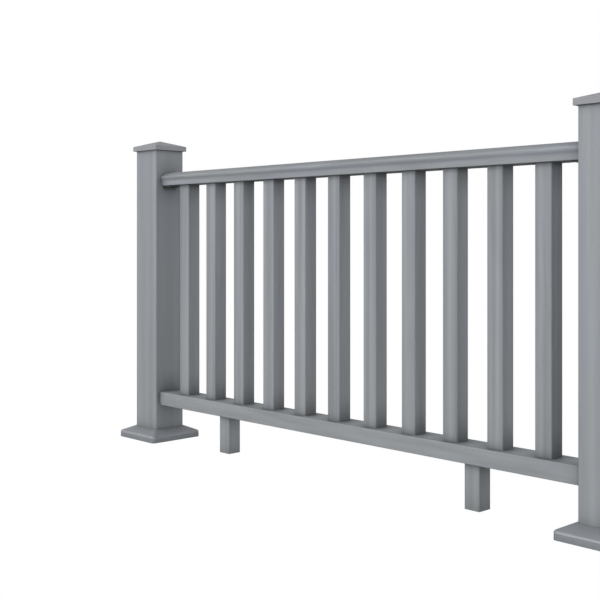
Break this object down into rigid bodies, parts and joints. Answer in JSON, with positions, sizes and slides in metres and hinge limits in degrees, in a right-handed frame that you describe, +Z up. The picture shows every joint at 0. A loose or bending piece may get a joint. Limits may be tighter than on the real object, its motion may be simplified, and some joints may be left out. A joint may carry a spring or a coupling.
{
  "type": "deck railing section",
  "caption": "Straight composite deck railing bay with sleeved, capped and skirted end posts, a moulded top rail, square balusters and a flat bottom rail on foot blocks.",
  "frame": {"origin": "centre of the left post's foot, on the deck surface", "axes": "+X along the rail from the left post to the right post, +Y across the rail away from the viewed side, +Z up"},
  "size_m": [1.9418, 0.1994, 1.0287],
  "materials": {
    "composite_post": "satin wood-plastic composite with a fine lengthwise grain",
    "composite_baluster": "satin wood-plastic composite with a fine lengthwise grain",
    "composite_rail": "satin wood-plastic composite with a fine lengthwise grain",
    "composite_trim": "satin moulded plastic, colour-matched to the composite",
    "timber": "sawn treated softwood",
    "bracket": "satin charcoal powder coat"
  },
  "bodies": {
    "root": {"left_post_core": "timber", "left_post_sleeve": "composite_post", "left_post_cap": "composite_trim", "left_post_skirt": "composite_trim", "right_post_core": "timber", "right_post_sleeve": "composite_post", "right_post_cap": "composite_trim", "right_post_skirt": "composite_trim", "bottom_rail": "composite_rail", "top_rail": "composite_rail", "baluster_01": "composite_baluster", "baluster_02": "composite_baluster", "baluster_03": "composite_baluster", "baluster_04": "composite_baluster", "baluster_05": "composite_baluster", "baluster_06": "composite_baluster", "baluster_07": "composite_baluster", "baluster_08": "composite_baluster", "baluster_09": "composite_baluster", "baluster_10": "composite_baluster", "baluster_11": "composite_baluster", "left_foot_block": "composite_baluster", "right_foot_block": "composite_baluster", "left_rail_bracket": "bracket", "right_rail_bracket": "bracket"}
  },
  "joints": []
}
